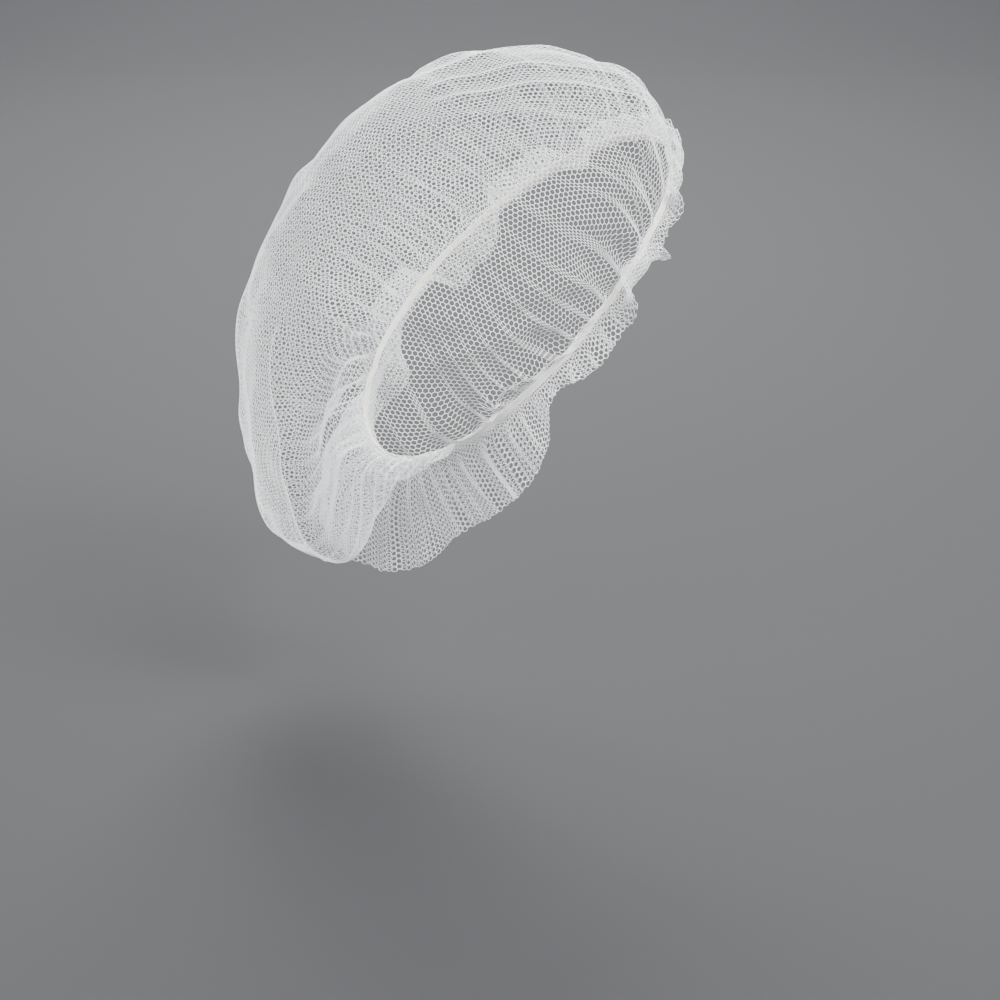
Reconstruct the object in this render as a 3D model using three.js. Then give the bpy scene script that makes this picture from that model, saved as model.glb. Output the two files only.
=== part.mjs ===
// A light hairnet in the form it has when worn: a loose crown of net and a ruffle, both gathered on
// one elastic band that runs from the forehead over the ears to the nape.
// Millimetres, +Z up. The wearer faces -Y, and the wearer's right side is -X.
// The origin is the centre of the band's opening, where the head goes in.

import * as THREE from 'three';

const DEGREE = Math.PI / 180;
const FULL_TURN = 2 * Math.PI;

// The band is a flat egg of elastic whose plane rises from the nape to the forehead
const BAND_TILT = 44 * DEGREE;
const BAND_HALF_LENGTH = 88.8;
const BAND_HALF_BREADTH = 71.8;
const BAND_EGG = 0.1;
const BAND_LIFT_AT_EARS = 3.1;
const BAND_WIDTH = 5;
const BAND_THICKNESS = 1;
const BAND_COLUMNS = 96;

// Everything gathered on the band starts this far from its edges
const SEAT_GAP = 0.3;

// The net's walls, and how finely they are divided
const CROWN_WALL = 1.2;
const RUFFLE_WALL = 1.4;
const COLUMNS = 144;
const CROWN_ROWS = [0, 0.02, 0.05, 0.09, 0.14, 0.2, 0.27, 0.35, 0.44, 0.54, 0.65, 0.77, 0.88, 0.96, 1];
const HALF_COLUMNS_FROM = 0.6;
const QUARTER_COLUMNS_FROM = 0.85;
const RUFFLE_ROWS = [0, 0.1, 0.25, 0.45, 0.7, 1];
const PROFILE_SAMPLES = 160;
const RUFFLE_SAMPLES = 40;

// Sections of the crown, a row for each angle round the band: 0 the forehead, 90 the right ear,
// 180 the nape, 270 the left ear. Each station is [out from the band's middle, up from its plane].
const TOP_HEIGHT = 109;
const CROWN_SECTIONS = [
  // angle, hem, low, side, shoulder, roof, top
  [0, [92, 8], [97, 16], [99, 28], [94, 43], [82, 61], [61, 81]],
  [30, [87, 8], [93, 18], [96, 31], [90, 46], [79, 61], [58, 81]],
  [60, [79, 9], [83, 20], [85, 33], [82, 47], [74, 63], [57, 82]],
  [90, [76, 9], [79, 19], [81, 32], [79, 47], [72, 64], [56, 85]],
  [120, [82, 7], [86, 15], [89, 26], [88, 40], [81, 60], [60, 84]],
  [150, [97, 5], [106, 8], [112, 18], [110, 32], [99, 56], [73, 83]],
  [165, [102, 6], [121, -8], [132, -9], [135, 12], [114, 45], [80, 80]],
  [180, [104, 7], [123, -8], [138, -15], [143, 5], [120, 42], [84, 79]],
  [195, [104, 7], [124, -8], [139, -14], [145, 5], [119, 43], [84, 79]],
  [210, [103, 6], [120, -6], [133, -8], [141, 10], [117, 45], [80, 80]],
  [225, [96, 6], [110, 0], [122, 3], [126, 20], [107, 51], [76, 82]],
  [240, [87, 8], [95, 13], [102, 23], [101, 37], [90, 59], [66, 83]],
  [270, [77, 9], [80, 19], [82, 32], [80, 47], [73, 64], [57, 85]],
  [300, [79, 9], [83, 20], [85, 33], [83, 47], [76, 64], [59, 84]],
  [330, [87, 8], [93, 18], [97, 31], [93, 46], [83, 62], [62, 83]],
];

// The ruffle where it hangs, a row for each angle: its depth, and how far it leans outwards from
// the band's plane over its upper half and over its free half
const HANGING_RUFFLE = [
  // angle, depth, lean of the upper half, lean of the free half
  [0, 12, 20, 20],
  [52, 9, 8, 12],
  [60, 12, 10, 15],
  [78, 11, 22, 18],
  [96, 14, 20, 15],
  [112, 20, 25, 20],
  [124, 27, 30, 28],
  [135, 33, 22, 22],
  [150, 41, 30, 28],
  [165, 48, 55, 42],
  [180, 53, 95, 46],
  [195, 57, 105, 46],
  [210, 57, 105, 42],
  [225, 48, 85, 32],
  [240, 32, 45, 25],
  [270, 18, 20, 20],
  [316, 12, 25, 30],
];

// Where the ruffle is turned up over the crown, a row for each lobe
const TURNED_UP_LOBES = [
  // from angle, to angle, ease at each end, depth, lean of the near half, lean of the free half
  [-40, 41, 9, 14, 120, 165],
  [65, 75, 6, 21, 115, 160],
  [106, 117, 7, 23, 105, 150],
  [246, 257, 7, 22, 100, 145],
  [287, 303, 8, 18, 110, 150],
];

// Soft folds of the crown, a row for each: they run from one place to another, both given by the
// angle and the distance along the net from the band, and stand proud by their height
const CROWN_FOLDS = [
  // from angle, from distance, to angle, to distance, height, half width
  [12, 34, 7, 122, 1.6, 5],
  [27, 40, 38, 118, 2.0, 5],
  [44, 30, 55, 110, 2.2, 5],
  [56, 12, 64, 76, 2.2, 4.5],
  [64, 10, 80, 60, 1.8, 4.5],
  [77, 14, 108, 48, 2.0, 5],
  [108, 48, 143, 96, 1.6, 6],
  [86, 8, 132, 52, 1.8, 5],
  [133, 26, 129, 70, 1.5, 5],
  [145, 36, 139, 100, 1.8, 5],
  [142, 100, 162, 172, 1.6, 7],
  [51, 115, 120, 135, 1.5, 6],
  [169, 64, 167, 160, 3.0, 4.5],
  [190, 70, 184, 168, 2.4, 8],
  [206, 90, 212, 214, 2.4, 9],
  [236, 30, 232, 110, 1.8, 6],
  [264, 16, 250, 80, 1.8, 5],
  [282, 14, 276, 76, 1.8, 5],
  [302, 16, 296, 92, 2.0, 5],
  [322, 24, 316, 104, 2.0, 5],
  [341, 34, 343, 116, 1.8, 5],
];

// Gathers at the band: how many, how far they stand, and where along the net they grow and fade
const GATHERS = 34;
const GATHER_HEIGHT = 1.3;
const GATHER_GROWN_AT = 8;
const GATHER_FADES_FROM = 16;
const GATHER_GONE_AT = 52;
const GATHER_DRIFT = 1.4;
const SLOW_GATHERS = 13;
const SLOW_GATHER_HEIGHT = 1.5;
const SLOW_GATHER_GONE_AT = 80;

// Pleats of the ruffle
const PLEATS = 36;
const PLEAT_HEIGHT = 1.3;

function smoothStep(from, to, value) {
  const share = Math.min(1, Math.max(0, (value - from) / (to - from)));
  return share * share * (3 - 2 * share);
}

function mix(first, second, share) {
  return first + (second - first) * share;
}

// The four weights of a cubic piece between two rows, with the slopes scaled by the piece's length
function hermite(first, second, slope1, slope2, length, share) {
  const squared = share * share;
  const cubed = squared * share;
  return (2 * cubed - 3 * squared + 1) * first + (cubed - 2 * squared + share) * length * slope1
    + (3 * squared - 2 * cubed) * second + (cubed - squared) * length * slope2;
}

// The values of a table's rows at any angle, smooth all the way round
function valuesAt(table, angle) {
  const turned = ((angle % 360) + 360) % 360;
  const count = table.length;
  const at = (index) => {
    const wrapped = ((index % count) + count) % count;
    return { angle: table[wrapped][0] + 360 * Math.floor(index / count), values: table[wrapped].slice(1).flat() };
  };
  let index = count - 1;
  while (index > 0 && table[index][0] > turned) index -= 1;
  const [before, left, right, after] = [at(index - 1), at(index), at(index + 1), at(index + 2)];
  const length = right.angle - left.angle;
  return left.values.map((value, column) => {
    const slope1 = (right.values[column] - before.values[column]) / (right.angle - before.angle);
    const slope2 = (after.values[column] - value) / (after.angle - left.angle);
    return hermite(value, right.values[column], slope1, slope2, length, (turned - left.angle) / length);
  });
}

// The band's middle line at an angle: its distance from the centre, its rise and its outward direction
function bandAt(theta) {
  const forward = BAND_HALF_LENGTH * Math.cos(theta);
  const sideways = BAND_HALF_BREADTH * Math.sin(theta) * (1 - BAND_EGG * Math.cos(theta));
  const radius = Math.hypot(forward, sideways);
  return {
    radius,
    lift: BAND_LIFT_AT_EARS * (1 - Math.cos(2 * theta)) / 2,
    outward: new THREE.Vector3(-sideways / radius, -forward / radius, 0),
  };
}

function pointOf(band, out, up) {
  return band.outward.clone().multiplyScalar(out).setZ(up);
}

// A smooth line through [out, up] stations, returned as even steps along its length
function smoothProfile(stations) {
  const knots = [0];
  for (let k = 1; k < stations.length; k += 1) {
    const step = Math.hypot(stations[k][0] - stations[k - 1][0], stations[k][1] - stations[k - 1][1]);
    knots.push(knots[k - 1] + step ** 0.7);
  }
  const slope = (k, axis) => {
    const low = Math.max(0, k - 1);
    return (stations[k + 1][axis] - stations[low][axis]) / (knots[k + 1] - knots[low]);
  };
  const last = stations.length - 2;
  const dense = [];
  for (let sample = 0; sample <= PROFILE_SAMPLES; sample += 1) {
    const knot = knots[last] * sample / PROFILE_SAMPLES;
    let k = 0;
    while (k < last - 1 && knots[k + 1] < knot) k += 1;
    const length = knots[k + 1] - knots[k];
    const share = (knot - knots[k]) / length;
    dense.push([0, 1].map((axis) => hermite(
      stations[k][axis], stations[k + 1][axis], slope(k, axis), slope(k + 1, axis), length, share,
    )));
  }
  const travelled = [0];
  for (let k = 1; k < dense.length; k += 1) {
    travelled.push(travelled[k - 1] + Math.hypot(dense[k][0] - dense[k - 1][0], dense[k][1] - dense[k - 1][1]));
  }
  return { dense, travelled, total: travelled[travelled.length - 1] };
}

function pointAlong(profile, distance) {
  const { dense, travelled } = profile;
  let k = 0;
  while (k < dense.length - 2 && travelled[k + 1] < distance) k += 1;
  const share = (distance - travelled[k]) / (travelled[k + 1] - travelled[k]);
  return [0, 1].map((axis) => mix(dense[k][axis], dense[k + 1][axis], share));
}

function crownProfile(theta) {
  const band = bandAt(theta);
  const values = valuesAt(CROWN_SECTIONS, theta / DEGREE);
  const stations = [[band.radius, band.lift + BAND_WIDTH / 2 + SEAT_GAP]];
  for (let k = 0; k < values.length; k += 2) stations.push([values[k], values[k + 1]]);
  stations.push([0, TOP_HEIGHT]);
  const beforeTop = stations[stations.length - 2];
  stations.push([-beforeTop[0], beforeTop[1]]);
  return { band, ...smoothProfile(stations) };
}

// How far a place is from a fold, both laid out flat round the top of the crown
function foldHeight(fold, theta, toTop, lengthAt) {
  const [fromAngle, fromDistance, toAngle, toDistance, height, halfWidth] = fold;
  const flat = (angle, fromBand) => {
    const reach = lengthAt(angle) - fromBand;
    return new THREE.Vector2(reach * Math.cos(angle), reach * Math.sin(angle));
  };
  const place = new THREE.Vector2(toTop * Math.cos(theta), toTop * Math.sin(theta));
  const start = flat(fromAngle * DEGREE, fromDistance);
  const run = flat(toAngle * DEGREE, toDistance).sub(start);
  const share = Math.min(1, Math.max(0, place.clone().sub(start).dot(run) / run.lengthSq()));
  const apart = place.distanceTo(start.addScaledVector(run, share));
  return height * Math.exp(-((apart / halfWidth) ** 2));
}

function gatherHeight(theta, distance) {
  const grown = mix(0.25, 1, smoothStep(0, GATHER_GROWN_AT, distance));
  const fine = Math.cos(GATHERS * theta + GATHER_DRIFT * Math.sin(5 * theta) + distance / 30);
  const slow = Math.cos(SLOW_GATHERS * theta + GATHER_DRIFT * Math.cos(3 * theta) - distance / 40);
  const fineLeft = 1 - smoothStep(GATHER_FADES_FROM, GATHER_GONE_AT, distance);
  const slowLeft = smoothStep(0, GATHER_FADES_FROM, distance)
    * (1 - smoothStep(GATHER_FADES_FROM, SLOW_GATHER_GONE_AT, distance));
  return GATHER_HEIGHT * grown * fineLeft * fine + SLOW_GATHER_HEIGHT * slowLeft * slow;
}

// Directions square to a grid of points, whose columns close in a ring
function gridNormals(grid) {
  return grid.map((column, c) => {
    const next = grid[(c + 1) % grid.length];
    const previous = grid[(c + grid.length - 1) % grid.length];
    return column.map((point, r) => {
      const across = next[r].clone().sub(previous[r]);
      const along = column[Math.min(r + 1, column.length - 1)].clone().sub(column[Math.max(r - 1, 0)]);
      return along.cross(across).normalize();
    });
  });
}

function displaced(grid, heights) {
  const normals = gridNormals(grid);
  return grid.map((column, c) => column.map(
    (point, r) => point.clone().addScaledVector(normals[c][r], heights[c][r]),
  ));
}

// Both skins of a wall about a grid. The first row spreads straight outwards, so that it stays level.
function wallSkins(grid, thickness, bands, outSide) {
  const normals = gridNormals(grid);
  const skin = (side) => grid.map((column, c) => column.map((point, r) => {
    const direction = r === 0 ? bands[c].outward.clone().multiplyScalar(outSide) : normals[c][r];
    return point.clone().addScaledVector(direction, side * thickness / 2);
  }));
  return { outer: skin(1), inner: skin(-1) };
}

class Shell {
  constructor() {
    this.positions = [];
    this.faces = [];
  }

  addPoint(point) {
    this.positions.push(point.x, point.y, point.z);
    return this.positions.length / 3 - 1;
  }

  // Joins two rings of points whose columns are equal in number or twice as many in the first
  addStrip(first, second) {
    const ratio = first.length / second.length;
    second.forEach((corner, k) => {
      const nextCorner = second[(k + 1) % second.length];
      const near = first[k * ratio];
      const middle = first[(k * ratio + 1) % first.length];
      if (ratio === 1) {
        this.faces.push(near, nextCorner, middle, near, corner, nextCorner);
        return;
      }
      const far = first[(k * ratio + 2) % first.length];
      this.faces.push(near, corner, middle, middle, corner, nextCorner, middle, nextCorner, far);
    });
  }

  addFan(ring, tip) {
    ring.forEach((corner, k) => this.faces.push(corner, tip, ring[(k + 1) % ring.length]));
  }

  mesh(name, material) {
    const geometry = new THREE.BufferGeometry();
    geometry.setAttribute('position', new THREE.Float32BufferAttribute(this.positions, 3));
    geometry.setIndex(this.faces);
    geometry.computeVertexNormals();
    const mesh = new THREE.Mesh(geometry, material);
    mesh.name = name;
    return mesh;
  }
}

function columnAngles(count) {
  return Array.from({ length: count }, (_, k) => FULL_TURN * k / count);
}

function buildCrown(material) {
  const angles = columnAngles(COLUMNS);
  const profiles = angles.map(crownProfile);
  const lengths = new Map();
  const lengthAt = (angle) => {
    if (!lengths.has(angle)) lengths.set(angle, crownProfile(angle).total);
    return lengths.get(angle);
  };
  const base = profiles.map((profile) => CROWN_ROWS.map(
    (share) => pointOf(profile.band, ...pointAlong(profile, share * profile.total)),
  ));
  const heights = profiles.map((profile, c) => CROWN_ROWS.map((share) => {
    if (share === 0 || share === 1) return 0;
    const distance = share * profile.total;
    const folds = CROWN_FOLDS.reduce(
      (sum, fold) => sum + foldHeight(fold, angles[c], profile.total - distance, lengthAt), 0,
    );
    return folds + gatherHeight(angles[c], distance);
  }));
  const grid = displaced(base, heights);
  const { outer, inner } = wallSkins(grid, CROWN_WALL, profiles.map((profile) => profile.band), 1);

  const shell = new Shell();
  const addSkin = (skin) => CROWN_ROWS.slice(0, -1).map((share, r) => {
    let stride = 1;
    if (share > HALF_COLUMNS_FROM) stride = 2;
    if (share > QUARTER_COLUMNS_FROM) stride = 4;
    return skin.filter((_, c) => c % stride === 0).map((column) => shell.addPoint(column[r]));
  });
  const outerRings = addSkin(outer);
  const innerRings = addSkin(inner);
  const outerTip = shell.addPoint(new THREE.Vector3(0, 0, TOP_HEIGHT + CROWN_WALL / 2));
  const innerTip = shell.addPoint(new THREE.Vector3(0, 0, TOP_HEIGHT - CROWN_WALL / 2));
  const outward = (rings, tip) => {
    const start = shell.faces.length;
    for (let r = 0; r + 1 < rings.length; r += 1) shell.addStrip(rings[r], rings[r + 1]);
    shell.addFan(rings[rings.length - 1], tip);
    return start;
  };
  outward(outerRings, outerTip);
  turnOver(shell.faces, outward(innerRings, innerTip));
  const rim = shell.faces.length;
  shell.addStrip(outerRings[0], innerRings[0]);
  turnOver(shell.faces, rim);
  return shell.mesh('crown_net', material);
}

function turnOver(faces, start) {
  for (let k = start; k < faces.length; k += 3) [faces[k + 1], faces[k + 2]] = [faces[k + 2], faces[k + 1]];
}

// The ruffle's depth and leans at an angle, where its turned-up lobes take over from the hanging net
function ruffleShape(theta) {
  const angle = theta / DEGREE;
  const shape = valuesAt(HANGING_RUFFLE, angle);
  for (const [from, to, ease, ...turned] of TURNED_UP_LOBES) {
    for (const seen of [angle, angle - 360]) {
      const share = smoothStep(from - ease, from, seen) * (1 - smoothStep(to, to + ease, seen));
      turned.forEach((value, column) => {
        shape[column] = mix(shape[column], value, share);
      });
    }
  }
  const [depth, nearLean, freeLean] = shape;
  return { depth, nearLean: nearLean * DEGREE, freeLean: freeLean * DEGREE };
}

function ruffleColumn(theta, band) {
  const { depth, nearLean, freeLean } = ruffleShape(theta);
  const step = depth / RUFFLE_SAMPLES;
  let out = band.radius;
  let up = band.lift - BAND_WIDTH / 2 - SEAT_GAP;
  const column = [pointOf(band, out, up)];
  for (let sample = 1; sample <= RUFFLE_SAMPLES; sample += 1) {
    const share = (sample - 0.5) / RUFFLE_SAMPLES;
    const lean = mix(nearLean, freeLean, smoothStep(0.25, 0.75, share)) * Math.min(1, share / 0.2);
    out += step * Math.sin(lean);
    up -= step * Math.cos(lean);
    if (RUFFLE_ROWS.includes(sample / RUFFLE_SAMPLES)) column.push(pointOf(band, out, up));
  }
  return column;
}

function buildRuffle(material) {
  const angles = columnAngles(COLUMNS);
  const bands = angles.map(bandAt);
  const base = angles.map((theta, c) => ruffleColumn(theta, bands[c]));
  const heights = angles.map((theta) => RUFFLE_ROWS.map(
    (share) => PLEAT_HEIGHT * share * Math.cos(PLEATS * theta + Math.sin(4 * theta)),
  ));
  const grid = displaced(base, heights);
  const { outer, inner } = wallSkins(grid, RUFFLE_WALL, bands, -1);

  const shell = new Shell();
  const rings = (skin) => RUFFLE_ROWS.map((_, r) => skin.map((column) => shell.addPoint(column[r])));
  const outerRings = rings(outer);
  const innerRings = rings(inner);
  const loop = [...outerRings, ...innerRings.reverse(), outerRings[0]];
  for (let r = 0; r + 1 < loop.length; r += 1) shell.addStrip(loop[r], loop[r + 1]);
  return shell.mesh('ruffle', material);
}

function buildBand(material) {
  const shell = new Shell();
  const corners = [[1, -1], [1, 1], [-1, 1], [-1, -1]];
  const bands = columnAngles(BAND_COLUMNS).map(bandAt);
  const rings = corners.map(([side, edge]) => bands.map((band) => shell.addPoint(
    pointOf(band, band.radius + side * BAND_THICKNESS / 2, band.lift + edge * BAND_WIDTH / 2),
  )));
  rings.forEach((ring, k) => shell.addStrip(ring, rings[(k + 1) % rings.length]));
  return shell.mesh('elastic_band', material);
}

const netWhite = () => new THREE.MeshStandardMaterial({ color: 0xf3f4f5, roughness: 0.62, metalness: 0 });
const elasticIvory = () => new THREE.MeshStandardMaterial({ color: 0xe9e6dc, roughness: 0.7, metalness: 0 });

const hairnet = new THREE.Group();
hairnet.rotation.x = -BAND_TILT;
hairnet.add(buildCrown(netWhite()), buildBand(elasticIvory()), buildRuffle(netWhite()));

export default hairnet;
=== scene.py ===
"""A light hairnet in the form it has when worn.

A crown of honeycomb net and a ruffle of doubled net are gathered on one narrow elastic band. Every
thread of the honeycomb is a real one: a flat honeycomb is cut, laid over the crown's or the ruffle's
form, and each of its cells is turned into closed threads.

Lengths are in millimetres up to the finished meshes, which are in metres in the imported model's frame:
+Z up, the forehead on -Y, the wearer's right side on -X, the origin in the middle of the band's opening.
"""
import logging
import math
from dataclasses import dataclass, field
from enum import Enum
from typing import Any, Callable, Iterable, Optional, Sequence, Union

import bpy
import numpy as np
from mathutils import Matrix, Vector


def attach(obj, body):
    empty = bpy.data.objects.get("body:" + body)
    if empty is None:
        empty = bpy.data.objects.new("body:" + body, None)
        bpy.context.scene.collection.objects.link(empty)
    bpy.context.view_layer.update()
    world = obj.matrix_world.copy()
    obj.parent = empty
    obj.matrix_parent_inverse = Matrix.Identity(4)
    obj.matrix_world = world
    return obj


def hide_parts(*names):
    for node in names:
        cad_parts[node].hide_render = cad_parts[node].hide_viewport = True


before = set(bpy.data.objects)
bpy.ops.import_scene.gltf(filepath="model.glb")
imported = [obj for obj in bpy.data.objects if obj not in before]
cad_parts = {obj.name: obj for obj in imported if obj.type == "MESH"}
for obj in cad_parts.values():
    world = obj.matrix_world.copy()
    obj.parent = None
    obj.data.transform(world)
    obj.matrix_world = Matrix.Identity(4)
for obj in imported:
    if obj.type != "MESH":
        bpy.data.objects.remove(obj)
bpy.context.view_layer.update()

MM = 0.001
FULL_TURN = 2.0 * math.pi
# Side of the square that has the area of a hexagon one unit from its middle to a side
SQUARE_ROOT_OF_HEXAGON = math.sqrt(2.0 * math.sqrt(3.0))
BODY = "root"
# Keeps a division by a length clear of zero
TINY = 1e-9

Placing = Callable[[np.ndarray], tuple[np.ndarray, np.ndarray]]
log = logging.getLogger("hairnet")


class Slot(Enum):
    """The record's material slots."""

    NET = "net"
    ELASTIC = "elastic"


class Panel(Enum):
    """Panels of net, by the range of angles round the band that they cover."""

    FRONT = (-45.0, 45.0)
    RIGHT = (45.0, 135.0)
    NAPE_RIGHT = (135.0, 180.0)
    NAPE_LEFT = (180.0, 225.0)
    LEFT = (225.0, 315.0)

    def holds(self, theta: np.ndarray) -> np.ndarray:
        """Tell which angles, in radians, are in the panel's range."""
        low, high = (math.radians(value) for value in self.value)
        return (theta - low) % FULL_TURN < high - low


# Sections of the crown, a row for each angle round the band: 0 the forehead, 90 the right ear,
# 180 the nape, 270 the left ear. Each station is (out from the band's middle, up from its plane).
CROWN_SECTIONS = (
    # angle, hem, low, side, shoulder, roof, top
    (0, (92, 8), (97, 16), (99, 28), (94, 43), (82, 61), (61, 81)),
    (30, (87, 8), (93, 18), (96, 31), (90, 46), (79, 61), (58, 81)),
    (60, (79, 9), (83, 20), (85, 33), (82, 47), (74, 63), (57, 82)),
    (90, (76, 9), (79, 19), (81, 32), (79, 47), (72, 64), (56, 85)),
    (120, (82, 7), (86, 15), (89, 26), (88, 40), (81, 60), (60, 84)),
    (150, (97, 5), (106, 8), (112, 18), (110, 32), (99, 56), (73, 83)),
    (165, (102, 6), (121, -8), (132, -9), (135, 12), (114, 45), (80, 80)),
    (180, (104, 7), (123, -8), (138, -15), (143, 5), (120, 42), (84, 79)),
    (195, (104, 7), (124, -8), (139, -14), (145, 5), (119, 43), (84, 79)),
    (210, (103, 6), (120, -6), (133, -8), (141, 10), (117, 45), (80, 80)),
    (225, (96, 6), (110, 0), (122, 3), (126, 20), (107, 51), (76, 82)),
    (240, (87, 8), (95, 13), (102, 23), (101, 37), (90, 59), (66, 83)),
    (270, (77, 9), (80, 19), (82, 32), (80, 47), (73, 64), (57, 85)),
    (300, (79, 9), (83, 20), (85, 33), (83, 47), (76, 64), (59, 84)),
    (330, (87, 8), (93, 18), (97, 31), (93, 46), (83, 62), (62, 83)),
)

# Soft folds of the crown: they run from one place to another, both given by the angle and the
# distance along the net from the band, and stand proud by their height
CROWN_FOLDS = (
    # from angle, from distance, to angle, to distance, height, half width
    (12, 34, 7, 122, 1.6, 5),
    (27, 40, 38, 118, 2.0, 5),
    (44, 30, 55, 110, 2.2, 5),
    (56, 12, 64, 76, 2.2, 4.5),
    (64, 10, 80, 60, 1.8, 4.5),
    (77, 14, 108, 48, 2.0, 5),
    (108, 48, 143, 96, 1.6, 6),
    (86, 8, 132, 52, 1.8, 5),
    (95, 2, 110, 13, 2.6, 3.0),
    (110, 13, 118, 13, 2.6, 3.0),
    (118, 13, 123, 4, 2.4, 3.0),
    (80, 4, 96, 7, 2.0, 3.0),
    (133, 26, 129, 70, 1.5, 5),
    (145, 36, 139, 100, 1.8, 5),
    (142, 100, 162, 172, 1.6, 7),
    (51, 115, 120, 135, 1.5, 6),
    (169, 64, 167, 160, 3.0, 4.5),
    (190, 70, 184, 168, 2.4, 8),
    (206, 90, 212, 214, 2.4, 9),
    (236, 30, 232, 110, 1.8, 6),
    (264, 16, 250, 80, 1.8, 5),
    (282, 14, 276, 76, 1.8, 5),
    (302, 16, 296, 92, 2.0, 5),
    (322, 24, 316, 104, 2.0, 5),
    (341, 34, 343, 116, 1.8, 5),
)

# The ruffle where it hangs: its depth, and how far it leans outwards over its two halves
HANGING_RUFFLE = (
    # angle, depth, lean of the upper half, lean of the free half
    (0, 12, 20, 20),
    (44, 5, 10, 10),
    (50, 5, 8, 12),
    (56, 7, 10, 15),
    (62, 8, 12, 15),
    (78, 10, 22, 18),
    (86, 12, 24, 22),
    (95, 12, 24, 20),
    (100, 9, 22, 18),
    (104, 7, 22, 18),
    (109, 9, 22, 20),
    (115, 20, 24, 22),
    (124, 28, 27, 26),
    (135, 32, 22, 22),
    (145, 34, 26, 24),
    (153, 36, 32, 29),
    (165, 48, 55, 42),
    (180, 53, 95, 46),
    (195, 57, 105, 46),
    (210, 57, 105, 42),
    (225, 48, 85, 32),
    (240, 32, 45, 25),
    (270, 18, 20, 20),
    (316, 12, 25, 30),
)

# Where the ruffle is turned up over the crown
TURNED_UP_LOBES = (
    # from angle, to angle, ease at each end, depth, lean of the near half, lean of the free half
    (-40, 41, 9, 14, 120, 165),
    (65, 75, 6, 21, 115, 160),
    (246, 257, 7, 22, 100, 145),
    (287, 303, 8, 18, 110, 150),
)


def smooth_step(low: float, high: float, value: np.ndarray) -> np.ndarray:
    """Ease from 0 at low to 1 at high.

    Args:
        low: Where the ease starts.
        high: Where it ends.
        value: The values to ease.

    Returns:
        The eased shares, from 0 to 1.
    """
    share = np.clip((value - low) / (high - low), 0.0, 1.0)
    return share * share * (3.0 - 2.0 * share)


def hermite(first: Any, second: Any, slope1: Any, slope2: Any, length: Any, share: Any) -> Any:
    """Follow a cubic from one value to another with given slopes.

    Args:
        first: Value at the start.
        second: Value at the end.
        slope1: Slope at the start.
        slope2: Slope at the end.
        length: Length of the piece that the slopes are measured on.
        share: Share of the way, from 0 to 1.

    Returns:
        The value at that share.
    """
    squared = share * share
    cubed = squared * share
    return (
        (2 * cubed - 3 * squared + 1) * first
        + (cubed - 2 * squared + share) * length * slope1
        + (3 * squared - 2 * cubed) * second
        + (cubed - squared) * length * slope2
    )


def values_at(table: Sequence, angle: np.ndarray) -> np.ndarray:
    """Read a table's columns at any angle, smooth all the way round.

    Args:
        table: Rows that start with their angle in degrees.
        angle: The angles asked for, in degrees.

    Returns:
        One row of values for each angle.
    """
    at = np.array([row[0] for row in table], float)
    values = np.array([np.ravel(row[1:]) for row in table], float)
    turned = np.asarray(angle, float) % 360.0
    left = np.searchsorted(at, turned, "right") - 1
    count = len(at)

    def row(step: int) -> tuple[np.ndarray, np.ndarray]:
        """Give the angles and values of the rows some steps away."""
        index = left + step
        return (at[index % count] + 360.0 * (index // count))[:, None], values[index % count]

    (angle0, value0), (angle1, value1), (angle2, value2), (angle3, value3) = (row(s) for s in (-1, 0, 1, 2))
    slope1 = (value2 - value0) / (angle2 - angle0)
    slope2 = (value3 - value1) / (angle3 - angle1)
    length = angle2 - angle1
    return hermite(value1, value2, slope1, slope2, length, (turned[:, None] - angle1) / length)


@dataclass(frozen=True)
class BandLoop:
    """The egg that the elastic follows, in a plane that rises from the nape to the forehead.

    Points are worked out in the plane's own frame, +Z square to it, and turned at the end. The net
    runs over the elastic's outside: casing is how much of it, net_over how far out from the middle.
    """

    tilt: float = math.radians(44.0)
    half_length: float = 88.8
    half_breadth: float = 71.8
    egg: float = 0.10
    lift_at_ears: float = 3.1
    width: float = 3.0
    thickness: float = 1.0
    casing: float = 3.6
    net_over: float = 0.95

    def reach(self, theta: np.ndarray) -> tuple[np.ndarray, np.ndarray]:
        """Give the loop's forward and sideways reach at each angle."""
        forward = self.half_length * np.cos(theta)
        sideways = self.half_breadth * np.sin(theta) * (1.0 - self.egg * np.cos(theta))
        return forward, sideways

    def radius(self, theta: np.ndarray) -> np.ndarray:
        """Give the distance from the opening's middle to the loop."""
        return np.hypot(*self.reach(theta))

    def lift(self, theta: np.ndarray) -> np.ndarray:
        """Give how far the loop rises above its plane."""
        return self.lift_at_ears * (1.0 - np.cos(2.0 * theta)) / 2.0

    def outward(self, theta: np.ndarray) -> np.ndarray:
        """Give the unit direction from the middle to the loop."""
        forward, sideways = self.reach(theta)
        radius = np.hypot(forward, sideways)
        return np.stack([-sideways / radius, -forward / radius, np.zeros_like(radius)], -1)

    def point(self, theta: np.ndarray, out: np.ndarray, up: np.ndarray) -> np.ndarray:
        """Place points by how far they lie out from the middle and up from the plane.

        Args:
            theta: Angles round the loop, in radians.
            out: Distances from the middle.
            up: Distances from the plane.

        Returns:
            The points, in the plane's frame.
        """
        placed = self.outward(theta) * np.asarray(out)[..., None]
        placed[..., 2] = up
        return placed

    def sight_angle(self, theta: np.ndarray) -> np.ndarray:
        """Give the true polar angle of each loop angle, unwrapped."""
        forward, sideways = self.reach(theta)
        return np.unwrap(np.arctan2(sideways, forward))

    def in_frame(self, points: np.ndarray) -> np.ndarray:
        """Turn points from the plane's frame to the model's."""
        cosine, sine = math.cos(self.tilt), math.sin(self.tilt)
        turned = points.copy()
        turned[..., 1] = points[..., 1] * cosine + points[..., 2] * sine
        turned[..., 2] = points[..., 2] * cosine - points[..., 1] * sine
        return turned


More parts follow.
